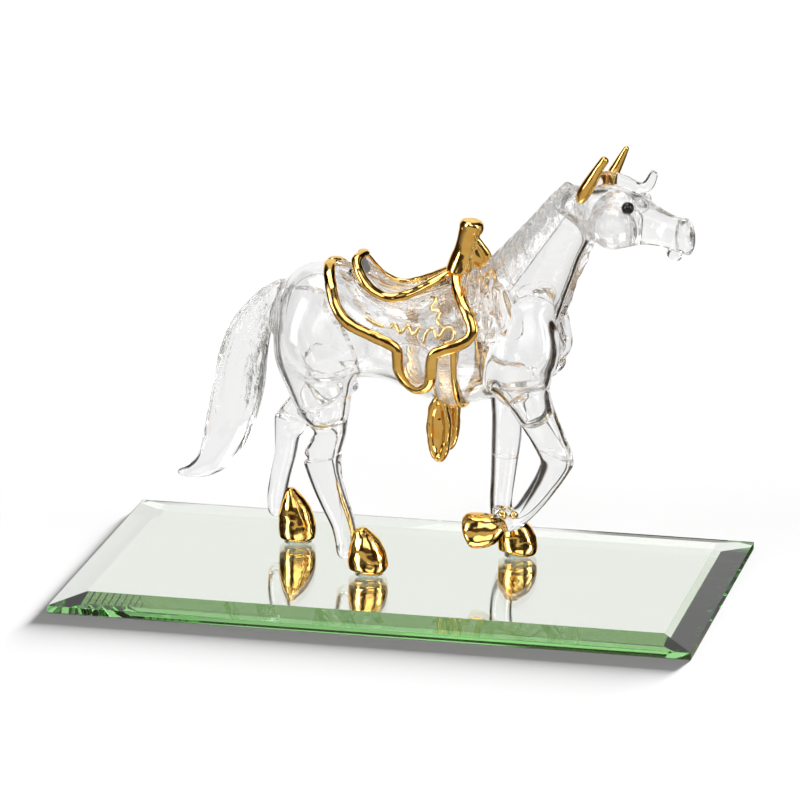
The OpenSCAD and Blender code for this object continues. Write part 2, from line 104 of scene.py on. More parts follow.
GASKIN_RIGHT = [
    (-27.5, -14.5, 61, 10.5, 7.6), (-26, -14.5, 56, 7.8, 6.6), (-25.2, -14.5, 50.5, 5.6, 5.6),
    (-26.8, -14.5, 45.5, 6.2, 5.4), (-28.2, -14.6, 41, 7, 5.2),
]
GASKIN_LEFT = [
    (-30, 15, 65, 10.5, 8), (-35.5, 15.2, 58, 8, 7), (-41, 15.4, 51.5, 6.8, 6),
    (-46.5, 15.4, 45, 6.4, 5.4),
]
HIND_CANNON_RIGHT = [
    (-28.2, -14.6, 41, 7, 5.2), (-26.5, -14.8, 33.5, 5.9, 4.8), (-23.8, -15, 26, 5.2, 4.5),
    (-20.8, -15.2, 18.5, 4.5, 4.2), (-19.6, -15.3, 12.5, 4, 4), (-19.6, -15.3, 7.5, 3.4, 3.4),
]
HIND_CANNON_LEFT = [
    (-47.6, 15.4, 46.5, 5.4, 5), (-48.3, 15.4, 40, 4.6, 4.6), (-49, 15.4, 33, 4, 4.1),
    (-50.8, 15.4, 25, 3.7, 3.8), (-52.2, 15.4, 17, 3.6, 3.6), (-52.4, 15.4, 11.5, 3.3, 3.2),
]
SHOULDER = [
    (47, -6, 99, 6, 6), (45, -8.5, 94, 11, 8), (42.5, -11, 84, 14, 9.5), (43, -13, 75, 12.5, 9),
    (45.5, -14, 69, 9, 7.8),
]
FOREARM_RIGHT = [
    (45.5, -14, 69, 8, 7.5), (49, -14.2, 61.5, 6.9, 6.4), (53, -14.3, 54, 6, 5.6),
    (56.4, -14.3, 47, 5.8, 5.2),
]
FOREARM_LEFT = [
    (34, 14.5, 69, 9, 7.8), (32.8, 15.6, 61, 7, 6.6), (32.1, 16.2, 52, 5.7, 5.5),
    (31.7, 16.5, 44, 5.5, 5.1), (31.1, 16.8, 37, 5, 4.8),
]
FORE_CANNON_RIGHT = [
    (56.8, -14.3, 46.5, 5.8, 5.2), (53.4, -14.2, 39.5, 4.9, 4.5), (48.4, -14, 31.5, 4.2, 4),
    (43.2, -14, 25, 3.6, 3.7), (37.8, -14, 22.3, 4.2, 4.3),
]
FORE_CANNON_LEFT = [
    (31.1, 16.8, 37, 5, 4.8), (30.4, 17, 29, 4.5, 4.4), (29.6, 17.2, 20, 4.1, 4.1),
    (30.2, 17.3, 13.5, 4.1, 4.1), (31.6, 17.4, 8, 3.8, 3.9),
]
HOOVES = {
    "hind_hoof_right": [
        (-11.2, -15.4, 0.6, 5.2, 4.4), (-11.2, -15.4, 2, 6.9, 5.7), (-11.5, -15.4, 5, 7.1, 5.9),
        (-12.3, -15.4, 9, 6.5, 5.5), (-13.3, -15.4, 12.5, 5.0, 4.5), (-14.3, -15.4, 15.2, 3.0, 2.8),
    ],
    "hind_hoof_left": [
        (-44.6, 15.4, 0.6, 5.0, 4.4), (-44.6, 15.4, 2, 6.6, 5.7), (-44.8, 15.4, 6, 6.9, 5.9),
        (-45.6, 15.4, 11, 6.1, 5.4), (-46.6, 15.4, 15.2, 4.5, 4.3), (-47.5, 15.4, 18.4, 2.6, 2.6),
    ],
    "fore_hoof_right": [
        (23.5, -14, 17.6, 4.6, 4.2), (24.8, -14, 17.9, 6.3, 5.4), (28, -14, 18.3, 6.6, 5.7),
        (31.5, -14, 19, 6.0, 5.2), (34.5, -14, 20.2, 4.6, 4.3), (36.8, -14, 21.4, 2.6, 2.8),
    ],
    "fore_hoof_left": [
        (35.9, 17.5, 0.6, 5.4, 4.4), (36, 17.5, 2, 7, 5.7), (35.7, 17.5, 4.5, 7.1, 5.9),
        (34.9, 17.5, 8, 6.4, 5.6), (34.1, 17.5, 11, 4.9, 4.6), (33.5, 17.5, 13.2, 2.9, 2.8),
    ],
}
EAR_RIGHT = [
    (62, -5.5, 138, 1.7, 1.9), (63.4, -5.8, 141, 2.5, 2.8), (66, -6, 145.5, 2.3, 2.5),
    (68.6, -6.1, 150, 1.8, 1.9), (70.6, -6.2, 153, 1.6, 1.6),
]
EAR_LEFT = [
    (68.4, 5.4, 139.2, 1.5, 1.8), (69.8, 5.6, 142.4, 2.3, 2.7), (72, 5.8, 146.8, 2, 2.4),
    (74.2, 5.9, 151.2, 1.5, 1.7), (75.8, 6, 154.4, 1.1, 1.2),
]
FORELOCK = [
    (65.5, 0, 143, 2.4, 2.6), (70, 0, 145.2, 2.6, 3), (76, 0, 144.6, 2.2, 2.8),
    (81.5, 0, 142.4, 2, 2.3), (84.6, 0, 143.2, 2.2, 2.2), (86, 0, 145.6, 2.0, 2.0),
    (86.8, 0, 148, 1.7, 1.7),
]
HORN = [
    (17.8, 0, 108.5, 4.8, 6), (18.8, 0, 112, 4.5, 4.8), (20.0, 0, 116, 4.1, 4.0),
    (20.9, 0, 120, 3.8, 3.7), (21.6, 0, 123, 4.0, 3.9), (22.2, 0, 124.8, 4.5, 4.4),
    (22.5, 0, 126.4, 4, 4.2),
]
HORN_WEB = [(20, 0, 114.5, 6.4, 2.6), (23, 0, 114, 5.6, 2.0), (26, 0, 113, 3.4, 1.5)]
HORN_FIN = [(23, 0, 121), (26, 0, 117.5), (28, 0, 113.5), (25, 0, 109.5)]

# The seat's slices: (x, half width, height of the hollow, height of its edge)
SEAT = [
    (-19.5, 5, 112, 111.5), (-17, 8, 112.6, 111.5), (-13.5, 9.6, 106, 106.6),
    (-9, 10, 102, 102.2), (-4, 10, 101, 100.6), (2, 9.2, 102, 102), (8, 7.4, 104.2, 104.4),
    (13, 4.8, 107, 107.2), (16, 3, 108.4, 108.6),
]
SEAT_EDGE = [
    (-16, 0, 113), (-17.8, -4.8, 111.8), (-15.8, -8.2, 107.8), (-12.2, -9.8, 103.4),
    (-7.7, -10.2, 100.8), (-3.2, -10.2, 100.3), (2.8, -9.4, 102.1), (8.3, -7.4, 104.9),
    (12.8, -4.6, 107.5), (16, 0, 109.2),
]

# Outlines and paths on the torso: (x, degrees down from the spine)
SKIRT = [
    (-27.5, 10), (-26, 36), (-22.5, 58), (-16.5, 72), (-8, 78), (0, 81), (8, 84), (16, 82),
    (22, 80), (25.6, 74), (25.6, 62), (22, 44), (17.5, 24), (14, 8), (-6, 4),
]
FENDER = [
    (0.8, 80), (0.6, 92), (0.8, 108), (2.8, 121), (6, 127), (9.4, 122), (11.8, 110),
    (12.2, 96), (12.2, 84), (6, 76),
]
TRIM = [
    (-28.2, 0), (-27.2, 20), (-25.4, 38), (-23.4, 54), (-20.5, 67), (-16.6, 75), (-10, 79),
    (-4, 81), (-0.2, 85), (0.4, 94), (0.6, 110), (2.6, 123), (6, 129), (9.6, 123), (12, 111),
    (12.6, 97), (13.4, 87), (17, 83), (22, 81), (25.6, 77), (26.8, 70), (25.9, 61),
    (22.8, 46), (19.6, 28), (18, 15),
]
SCROLLS = [
    [(-12, 61), (-9.5, 64), (-7, 65), (-4.5, 65)],
    [(x, 63.5 + 4.4 * math.sin(1.3 * x)) for x in np.arange(-2.8, 8.4, 0.5)],
    [(9.8, 77), (10.6, 66), (13, 63), (14.8, 72), (17.5, 64), (20.4, 67), (20.4, 75), (17, 77)],
    [(9.5, 28), (12.5, 33), (11, 43), (14.4, 47), (14, 56), (16.5, 63)],
]
# Low folds in the leather of the skirt, under the seat
FOLDS = [
    [(-19, 30), (-14, 44), (-6, 50), (2, 50), (9, 44)],
    [(-17, 46), (-9, 58), (0, 60), (6, 57)],
]
GIRTH_SPAN = (13.6, 20.2)
GIRTH_TRIM = [(20.4, angle) for angle in range(82, 283, 10)]
STIRRUP_PLACES = (-9, 6)

# ---- lofts


def unit(v):
    return v / np.linalg.norm(v)


def smooth(points, steps):
    """The points with steps - 1 more between each two, on a Catmull-Rom curve."""
    p = np.asarray(points, float)
    q = np.vstack([p[:1], p, p[-1:]])
    t = (np.arange(steps) / steps)[:, None]
    runs = [
        0.5 * (2 * q[i + 1] + (q[i + 2] - q[i]) * t
               + (2 * q[i] - 5 * q[i + 1] + 4 * q[i + 2] - q[i + 3]) * t**2
               + (3 * q[i + 1] - q[i] - 3 * q[i + 2] + q[i + 3]) * t**3)
        for i in range(len(p) - 1)
    ]
    return np.vstack([*runs, p[-1:]])


def smooth_loop(points, steps):
    """As smooth(), for a closed outline."""
    p = np.asarray(points, float)
    n = len(p)
    long = smooth(np.vstack([p[-2:], p, p[:3]]), steps)
    return long[2 * steps : (n + 2) * steps]


def headings(p, closed=False):
    """The direction of travel at each point of a path."""
    d = np.roll(p, -1, 0) - np.roll(p, 1, 0)
    if not closed:
        d[0], d[-1] = p[1] - p[0], p[-1] - p[-2]
    return d / np.linalg.norm(d, axis=1)[:, None]


ACROSS = np.array([0, 1.0, 0])  # square to the horse's upright plane


def ring(station, d, across, sides):
    """An ellipse of points round one station, square to direction d."""
    up = unit(np.cross(across, d))
    out = np.cross(d, up)
    a = 2 * math.pi * np.arange(sides)[:, None] / sides
    return station[:3] + station[3] * np.cos(a) * up + station[4] * np.sin(a) * out


def dome(station, d, length, steps=5):
    """Stations that close an end with a dome of the given length."""
    turns = np.radians(88) * np.arange(1, steps + 1) / steps
    return [
        np.array([*(station[:3] + length * math.sin(a) * d), station[3] * math.cos(a),
                  station[4] * math.cos(a)])
        for a in turns
    ]


def skin(rings, closed=False):
    """Joins rings of equal count into one solid, as (points, faces)."""
    n, m = len(rings[0]), len(rings)
    faces = []
    for i in range(m if closed else m - 1):
        a, b = i * n, (i + 1) % m * n
        faces += [(a + k, b + k, b + (k + 1) % n, a + (k + 1) % n) for k in range(n)]
    if not closed:
        faces += [tuple(range(n)), tuple(range((m - 1) * n, m * n))[::-1]]
    return np.vstack(rings), faces


def loft(line, sides=40, steps=6, head=0.0, tail=0.0, along=None, grow=0.0):
    """A solid along stations. head and tail are dome lengths, along fixes every slice's direction
    and grow thickens the whole."""
    s = smooth(line, steps)
    s[:, 3:] += grow
    d = headings(s[:, :3])
    if along is not None:
        d[:] = along
    rings = [ring(st, d[0], ACROSS, sides) for st in dome(s[0], -d[0], head)[::-1]] if head else []
    rings += [ring(st, di, ACROSS, sides) for st, di in zip(s, d)]
    if tail:
        rings += [ring(st, d[-1], ACROSS, sides) for st in dome(s[-1], d[-1], tail)]
    return skin(rings)


def thread(points, wide, tall, centre, sides=14, steps=5, taper=1.0, wander=0.0, closed=False):
    """A drawn thread of glass through points. wide runs along the surface it lies on and tall away
    from centre; wander lets its width swell and thin as a hand-drawn thread does."""
    p = smooth_loop(points, steps) if closed else smooth(points, steps)
    n = len(p)
    d = headings(p, closed)
    run = np.concatenate([[0], np.cumsum(np.linalg.norm(np.diff(p, axis=0), axis=1))])
    rings = []
    for i in range(n):
        size = 1 - (1 - taper) * i / (n - 1)
        size *= 1 + wander * (math.sin(run[i] / 2.1) + math.sin(run[i] / 0.83 + 2)) / 2
        if not closed:
            size *= math.sqrt(max(0.12, 1 - max(0, 1 - 2.0 * min(i, n - 1 - i) / steps) ** 2))
        out = p[i] - centre(p[i])
        out = unit(out - (out @ d[i]) * d[i])
        rings.append(ring(np.array([*p[i], wide * size, tall * size]), d[i], out, sides))
    return skin(rings, closed)


def ball(centre, radius, scale=(1, 1, 1), tilt=0.0, grow=0.0):
    """A melted bead: an ellipsoid leaning tilt degrees about the y axis."""
    lat = np.radians(np.linspace(-88, 88, 17))
    lon = 2 * math.pi * np.arange(28) / 28
    rows = []
    turn = np.array(Matrix.Rotation(math.radians(tilt), 3, "Y"))
    for a in lat:
        p = np.stack([math.cos(a) * np.cos(lon), math.cos(a) * np.sin(lon),
                      np.full(28, math.sin(a))], 1)
        rows.append((p * (radius * np.array(scale) + grow)) @ turn.T + centre)
    return skin(rows)


def mirrored(solid):
    """The same solid on the horse's other side."""
    points, faces = solid
    return points * (1, -1, 1), [f[::-1] for f in faces]


# ---- places on the torso and neck

torso_fine = smooth(TORSO, 8)
neck_fine = smooth(NECK, 12)


def on_torso(x, angle, side, lift):
    """The point lift above the torso's skin at x, angle degrees down from the spine."""
    mid, deep, wide = (np.interp(x, torso_fine[:, 0], torso_fine[:, k]) for k in (2, 3, 4))
    a = math.radians(angle)
    return np.array([x, side * (wide + lift) * math.sin(a), mid + (deep + lift) * math.cos(a)])


def torso_axis(p):
    """The middle of the torso beside a point, which threads on the torso lean away from."""
    return np.array([p[0], 0, np.interp(p[0], torso_fine[:, 0], torso_fine[:, 2])])


def on_neck(t, angle, lift):
    """The point at share t of the neck's length, angle degrees from the crest to the right."""
    at = np.clip(t, 0, 1) * (len(neck_fine) - 1)
    st = np.array([np.interp(at, np.arange(len(neck_fine)), c) for c in neck_fine.T])
    d = headings(neck_fine[:, :3])[int(round(at))]
    crest = unit(np.cross(d, ACROSS))
    a = math.radians(angle)
    return st[:3] + (st[3] + lift) * math.cos(a) * crest - (0, (st[4] + lift) * math.sin(a), 0)


def neck_axis(p):
    """The middle of the neck nearest to a point."""
    return neck_fine[np.argmin(np.linalg.norm(neck_fine[:, :3] - p, axis=1)), :3]


def patch(outline, side, rise, sink=1.6):
    """A sheet of glass pressed on the torso inside an outline; rise is its thickness."""
    rim = smooth_loop(outline, 7)
    middle = rim.mean(0)
    levels = [(f, -sink) for f in (0.05, 0.3, 0.6, 0.85)]
    levels += [(0.95, -sink * 0.8), (0.985, -0.4), (1, rise * 0.35), (0.985, rise * 0.75)]
    levels += [(f, rise) for f in (0.95, 0.85, 0.7, 0.55, 0.4, 0.25, 0.05)]
    order = rim if side == RIGHT else rim[::-1]
    return skin([
        np.array([on_torso(*(middle + f * (q - middle)), side, lift) for q in order])
        for f, lift in levels
    ])


def torso_thread(path, side, wide, tall, lift, **how):
    return thread([on_torso(x, a, side, lift) for x, a in path], wide, tall, torso_axis, **how)


# ---- solids of clear glass


def seat_solid(grow=0.0):
    """The dished seat with its cantle, sunk into the back."""
    rings = []
    for x, half, hollow, edge in smooth(SEAT, 6):
        half += grow
        row = []
        for a in -2 * math.pi * np.arange(56) / 56:
            y = half * math.sin(a)
            top = hollow + (edge - hollow) * (y / half) ** 2 + grow
            share = min(1.0, max(0.0, 0.5 + 1.4 * math.cos(a)))
            deep = np.interp(x, torso_fine[:, 0], torso_fine[:, 3])
            spine = torso_axis((x,))[2] + deep * math.cos(math.asin(min(1, abs(y) / 20)))
            under = min(top - 1, spine - 2.5)
            row.append((x, y, under + (top - under) * share))
        rings.append(np.array(row))
    return skin(rings)


def girth_solid(grow=0.0):
    """The strap that passes under the belly from skirt to skirt."""
    x0, x1 = GIRTH_SPAN[0] - grow, GIRTH_SPAN[1] + grow
    bulge = [(x0, -1.2), (x0, 0.5), (x0 + 0.6, 0.95), (x0 + 1.6, 1.15), (x1 - 1.6, 1.15),
             (x1 - 0.6, 0.95), (x1, 0.5), (x1, -1.2)]
    return skin([
        np.array([on_torso(x, a, LEFT, lift + (grow if lift > 0 else 0)) for x, lift in bulge])
        for a in np.linspace(80, 280, 50)
    ])


def tail_solid(grow=0.0):
    """The tail, twisted from strands whose grooves fade towards the tip."""
    s = smooth(TAIL, 9)
    d = headings(s[:, :3])
    count, sides = len(s), 96
    a = 2 * math.pi * np.arange(sides) / sides
    rings = []
    for i in range(count):
        share = i / (count - 1)
        depth = (1.5 * min(1, share * 9) * max(0, 1 - share / 0.8)) if not grow else 0
        waves = 0.55 * np.cos(9 * a + 0.16 * i) + 0.45 * np.cos(14 * a - 0.11 * i + 1)
        groove = depth * (waves - 1) / 2
        up = unit(np.cross(ACROSS, d[i]))
        out = np.cross(d[i], up)
        rings.append(s[i, :3]
                     + ((s[i, 3] + grow + groove) * np.cos(a))[:, None] * up
                     + ((s[i, 4] + grow + groove) * np.sin(a))[:, None] * out)
    tip = s[-1] + (0, 0, 0, grow, grow)
    rings += [ring(st, d[-1], ACROSS, sides) for st in dome(tip, d[-1], 1.2)]
    return skin(rings)


SHORT_LOCKS = 30


def crest_strands():
    """Short locks combed down the right side of the neck from its crest, and a few on the left."""
    rng = np.random.default_rng(7)
    made = []
    for i in range(SHORT_LOCKS):
        t = 0.06 + 0.92 * i / (SHORT_LOCKS - 1)
        fall = 46 + 22 * math.sin(i * 1.9) + rng.uniform(-5, 5)
        side = 1 if i % 5 else -1
        drift = 0.13 + 0.04 * math.sin(i * 2.3)
        sway = 0.016 * math.sin(i * 3.1)
        points = [
            on_neck(t + 0.05, -12 * side, -1.2),
            on_neck(t + 0.02, 2 * side, 0.5),
            on_neck(t - 0.3 * drift + sway, fall * 0.3 * side, 0.7),
            on_neck(t - 0.6 * drift - sway, fall * 0.6 * side, 0.5),
            on_neck(t - 0.9 * drift + sway, fall * 0.9 * side, 0.35),
            on_neck(t - 1.05 * drift + 0.03, fall * side, -0.3),
        ]
        made.append(thread(points, rng.uniform(0.85, 1.15), 1.35, neck_axis, sides=12, steps=5,
                           taper=0.55))
    return made


# Long locks over the shoulder: (x at the crest, x at the bend, angle of the bend, x of the hook)
LONG_LOCKS = [
    (21.5, 23.6, 58, 26.4), (24.5, 27.4, 66, 30.0), (27.5, 31.0, 72, 34.0), (31.5, 35.4, 70, 38.6),
    (35.0, 39.5, 60, 42.2), (29.5, 29.6, 50, 27.0), (33.5, 33.8, 54, 31.2),
]


def long_strands():
    """Long locks that fall over the shoulder and curl forward at their tips."""
    made = []
    for k, (x0, x1, bend, hook) in enumerate(LONG_LOCKS):
        wide = 1.25 + 0.15 * math.sin(k * 2.1)
        points = [
            on_torso(x0, 8, RIGHT, 4.5), on_torso(x0 + 0.3, 22, RIGHT, 2.4),
            on_torso((x0 + x1) / 2 - 0.8, 38, RIGHT, 1.0), on_torso(x1 - 0.9, bend - 8, RIGHT, 0.7),
            on_torso((x1 + hook) / 2, bend + 2, RIGHT, 0.7), on_torso(hook, bend - 8, RIGHT, 0.6),
            on_torso(hook - 0.5, bend - 22, RIGHT, 0.4),
        ]
        made.append(thread(points, wide, 1.7, torso_axis, sides=14, taper=0.62))
    return made


def shoulder_solid(side, **how):
    made = loft(SHOULDER, head=4, tail=1.2, **how)
    return made if side == RIGHT else mirrored(made)


def pair(name, make):
    """A piece on the right and its fellow on the left; make is called with the side."""
    return {name + "_right": make(RIGHT), name + "_left": make(LEFT)}


LENGTHWISE = (1, 0, 0)
CHEEK_SIZE, CHEEK_X, CHEEK_Z = 8.4, 73, 128


def cheek(side, depth, grow=0.0):
    return ball((CHEEK_X, side * 5, CHEEK_Z), CHEEK_SIZE, (1, depth, 1), 0, grow)


# Gathers that melt deep into one another: the trunk. They are softened the most.
TRUNK = {
    "torso": [loft(TORSO, 56, 8, 2.5, 2.5, LENGTHWISE)],
    "haunch_right": [loft(HAUNCH_RIGHT, head=5, tail=1.2)],
    "haunch_left": [loft(HAUNCH_LEFT, head=5, tail=1.2)],
    "neck": [loft(NECK, 48, 8, 0, 3)],
    "head": [loft(HEAD, 44, 8, 2.5, 2.5, LENGTHWISE)],
    **pair("cheek", lambda side: [cheek(side, 0.46)]),
}
# Small beads on the head: (centre, radius, scale, tilt)
BEADS = {
    "muzzle_pad": ((98.5, 0, 125.8), 6.9, (1, 0.82, 0.45), 84),
    "lower_lip": ((94.2, 0, 118.9), 2.4, (1.35, 1.1, 0.8), 25),
    "brow_right": ((83.2, -4.6, 137.4), 2.3),
    "brow_left": ((83.2, 4.6, 137.4), 2.3),
}
# Leg gathers: (stations, its domes at head and tail, its cutter's domes, its cutter's growth)
LEGS = {
    "gaskin_right": (GASKIN_RIGHT, (1.2, 1.2), (0, 3), 3),
    "gaskin_left": (GASKIN_LEFT, (1.2, 4.5), (5, 6), 3),
    "hind_cannon_right": (HIND_CANNON_RIGHT, (1.2, 3), (0, 4), 3),
    "hind_cannon_left": (HIND_CANNON_LEFT, (1.2, 3), (0, 4), 3),
    "forearm_right": (FOREARM_RIGHT, (1.2, 4), (0, 6), 2.5),
    "forearm_left": (FOREARM_LEFT, (1.2, 1.2), (0, 3), 2.5),
    "fore_cannon_right": (FORE_CANNON_RIGHT, (4, 3), (2, 7), 4.5),
    "fore_cannon_left": (FORE_CANNON_LEFT, (1.2, 2), (0, 4), 3),
}


def leg(name):
    line, (head, tail), _, _ = LEGS[name]
    return loft(line, head=head, tail=tail)


def leg_cutter(name):
    line, _, (head, tail), grow = LEGS[name]
    return loft(line, 24, 6, head, tail, None, grow)


# Beads melted on at the raised fetlock: (centre, radius)
FETLOCK = [((37.6, -14, 23.6), 4.4), ((41.4, -14.6, 22.6), 3.2), ((35.4, -14.8, 26.2), 2.4)]
# A drawn rod down the throat to the chest: (share of the neck's length, lift)
THROAT = [(0.93, -0.2), (0.8, 0.1), (0.66, 0.0), (0.52, 0.15), (0.4, 0.0), (0.3, 0.2), (0.2, 0.1)]


def throat_rod():
    points = [on_neck(t, 180, lift) for t, lift in THROAT]
    return thread(points, 1.9, 1.3, neck_axis, wander=0.3, sides=18)


def skirt(side):
    folds = [torso_thread(fold, side, 1.5, 0.9, 1.5, taper=0.6) for fold in FOLDS]
    return [patch(SKIRT, side, 1.5)] + folds


# Gathers laid on the trunk or drawn out of it, whose welds stay crisp.
LAID = {
    **pair("shoulder", lambda side: [shoulder_solid(side)]),
    **{name: [ball(*bead)] for name, bead in BEADS.items()},
    "forelock": [loft(FORELOCK, 24, 6, 1.5, 1)],
    "throat": [throat_rod()],
    "mane_crest": crest_strands(),
    "mane_locks": long_strands(),
    "tail": [tail_solid()],
    **{name: [leg(name)] for name in LEGS},
    **pair("skirt", skirt),
    **pair("fender", lambda side: [patch(FENDER, side, 1.9)]),
    "seat": [seat_solid()],
    "girth": [girth_solid()],
}
LAID["fore_cannon_right"] += [ball(*bead) for bead in FETLOCK]


def crest_region():
    """The sheet of neck skin that the short locks lie in, as a cutter."""
    rings = []
    for t in np.linspace(-0.02, 1.0, 40):
        angles = np.linspace(-74, 74, 25)
        rings.append(np.vstack([[on_neck(t, a, 5) for a in angles],
                                [on_neck(t, a, -1.5) for a in angles[::-1]]]))
    return skin(rings)


LOCKS_REGION = [(18.5, 4), (19.5, 40), (22, 66), (30, 82), (38, 80), (44, 68), (43, 44), (38, 18),
                (30, 4)]
WELD_REACH = 1.3  # how far past its own shape a piece owns the melted fillet round it
# Cutters in the order the pieces are taken from the skin; what is left at the end is the torso.
CUTTERS = {
    "mane_locks": patch(LOCKS_REGION, RIGHT, 6, 1.5),
    "mane_crest": crest_region(),
    "forelock": loft(FORELOCK, 24, 6, 2.5, 2.5, None, 0.9),
    "lower_lip": ball(*BEADS["lower_lip"], grow=0.7),
    "brow_right": ball(*BEADS["brow_right"], grow=0.6),
    "brow_left": ball(*BEADS["brow_left"], grow=0.6),
    "muzzle_pad": ball(*BEADS["muzzle_pad"], grow=0.6),
    **pair("cheek", lambda side: cheek(side, 0.55, 0.6)),
    "head": loft(HEAD, 44, 8, 4, 6, LENGTHWISE, WELD_REACH),
    "tail": tail_solid(WELD_REACH),
    **{name: leg_cutter(name) for name in LEGS if "cannon" in name},
    **{name: leg_cutter(name) for name in LEGS if "cannon" not in name},
    "girth": girth_solid(0.5),
    **pair("fender", lambda side: patch(FENDER, side, 4, 1.2)),
    "seat": seat_solid(1.2),
    **pair("skirt", lambda side: patch(SKIRT, side, 6, 1.2)),
    **pair("shoulder", lambda side: shoulder_solid(side, grow=1.5)),
    "haunch_right": loft(HAUNCH_RIGHT, 32, 6, 5, 3, None, 1.5),
    "haunch_left": loft(HAUNCH_LEFT, 32, 6, 5, 6, None, 3),
    "neck": loft(NECK, 48, 8, 0, 5, None, 2),
}

# ---- mesh work

scene = bpy.context.scene
collection = scene.collection


def to_mesh(name, solids, slot_index=0):
    """One mesh of several (points, faces) solids, with outward normals."""
    points, faces, start = [], [], 0
    for p, f in solids:
        points.append(p)
        faces += [tuple(i + start for i in face) for face in f]
        start += len(p)
    mesh = bpy.data.meshes.new(name)
    mesh.from_pydata(np.vstack(points).tolist(), [], faces)
    bm = bmesh.new()
    bm.from_mesh(mesh)
    bmesh.ops.recalc_face_normals(bm, faces=bm.faces)
    for face in bm.faces:
        face.material_index = slot_index
        face.smooth = True
    bm.to_mesh(mesh)
    bm.free()
    return mesh


def scratch_object(mesh):
    made = bpy.data.objects.new("scratch_" + mesh.name, mesh)
    collection.objects.link(made)
    return made


def evaluated(obj):
    """A new mesh of the object with its modifiers applied."""
    bpy.context.view_layer.update()
    graph = bpy.context.evaluated_depsgraph_get()
    return bpy.data.meshes.new_from_object(obj.evaluated_get(graph))


def read(items, field, width, kind=np.float32):
    """One field of a mesh's vertices, edges, faces or corners, width numbers for each."""
    flat = np.empty(len(items) * width, kind)
    items.foreach_get(field, flat)
    return flat.reshape(-1, width) if width > 1 else flat


def coordinates(mesh):
    return read(mesh.vertices, "co", 3).astype(float)


def outward(mesh):
    """The outward direction at each vertex."""
    return read(mesh.vertices, "normal", 3)


def set_coordinates(mesh, co):
    mesh.vertices.foreach_set("co", co.astype(np.float32).ravel())
    mesh.update()


def relax(mesh, rounds, weight=0.5):
    """Lets the skin flow: each round moves every vertex part of the way to its neighbours' mean.
    weight is a number, or one for each vertex."""
    co = coordinates(mesh)
    edges = read(mesh.edges, "vertices", 2, np.int32)
    a, b = edges.T
    count = np.bincount(edges.ravel(), minlength=len(co))[:, None]
    w = np.broadcast_to(np.asarray(weight, float).reshape(-1, 1), (len(co), 1))
    for _ in range(rounds):
        total = np.stack([
            np.bincount(a, co[b, k], len(co)) + np.bincount(b, co[a, k], len(co)) for k in range(3)
        ], 1)
        co = co + w * (total / count - co)
    set_coordinates(mesh, co)


def fuse(name, meshes, voxel):
    """Melts closed solids into one skin."""
    bm = bmesh.new()
    for mesh in meshes:
        bm.from_mesh(mesh)
    joined = bpy.data.meshes.new(name)
    bm.to_mesh(joined)
    bm.free()
    obj = scratch_object(joined)
    melt = obj.modifiers.new("melt", "REMESH")
    melt.mode = "VOXEL"
    melt.voxel_size = voxel
    made = evaluated(obj)
    bpy.data.objects.remove(obj)
    bpy.data.meshes.remove(joined)
    return made


def near(points, low, high, soft):
    """1 for points inside the box from low to high, falling to 0 over soft millimetres outside."""
    gap = np.maximum(np.maximum(np.array(low) - points, points - np.array(high)), 0)
    return np.clip(1 - np.linalg.norm(gap, axis=1) / soft, 0, 1)


def split(body, cutter, operation):
    """The part of body inside or outside the cutter, as a new mesh."""
    obj, tool = scratch_object(body), scratch_object(cutter)
    knife = obj.modifiers.new("cut", "BOOLEAN")
    knife.operation, knife.object, knife.solver = operation, tool, "MANIFOLD"
    made = evaluated(obj)
    bpy.data.objects.remove(obj)
    bpy.data.objects.remove(tool)
    return made


WALL = 1.7  # thickness of the blown trunk
WALL_STEPS = 5  # the skin is pressed inward this many times to make the wall
# Boxes in the skin, as (low corner, high corner, reach past the box)
HAIR_ZONES = [
    ((-75, -8, 40), (-52, 8, 98), 4),
    ((20, -24, 86), (44, 0, 112), 3),
    ((36, -12, 112), (66, 6, 145), 3),
]
BODY_ZONE = ((-60, -30, 66), (60, 30, 118), 8)
HEAD_ZONE = ((62, -12, 114), (94, 12, 146), 5)


def melted_skin():
    """The one skin of all the clear glass. Hair is relaxed less, so that its strands stay."""
    trunk = fuse("trunk", [to_mesh(n, s) for n, s in TRUNK.items()], VOXEL)
    soften(trunk)
    whole = fuse("whole", [trunk] + [to_mesh(n, s) for n, s in LAID.items()], VOXEL)
    co = coordinates(whole)
    combed = np.max([near(co, *zone) for zone in HAIR_ZONES], axis=0)
    relax(whole, 2)
    relax(whole, 18, 0.5 * (1 - 0.93 * combed))
    return whole


def soften(trunk):
    """Lets the deep gathers of the trunk flow into one another."""
    co = coordinates(trunk)
    relax(trunk, 20)
    relax(trunk, 180, 0.5 * near(co, *BODY_ZONE))
    relax(trunk, 160, 0.5 * near(co, *HEAD_ZONE))


def hollow():
    """The air blown into the trunk: its own shape less the wall, ending round in the upper legs."""
    gathers = [
        loft(TORSO, 56, 8, 2.5, 2.5, LENGTHWISE),
        loft(NECK[:-1], 48, 8, 0, 4),
        loft(HAUNCH_RIGHT + GASKIN_RIGHT[1:2], head=4, tail=5),
        loft(HAUNCH_LEFT + GASKIN_LEFT[1:2], head=4, tail=5),
        loft(SHOULDER + FOREARM_RIGHT[1:2], head=4, tail=5),
        shoulder_solid(LEFT),
        loft(FOREARM_LEFT[:2], head=1.2, tail=5),
    ]
    air = fuse("air", [to_mesh("air", [solid]) for solid in gathers], VOXEL)
    soften(air)
    for _ in range(WALL_STEPS):
        set_coordinates(air, coordinates(air) - WALL / WALL_STEPS * outward(air))
        air = fuse("air", [air], VOXEL)
        relax(air, 4)
    relax(air, 12)
    return air


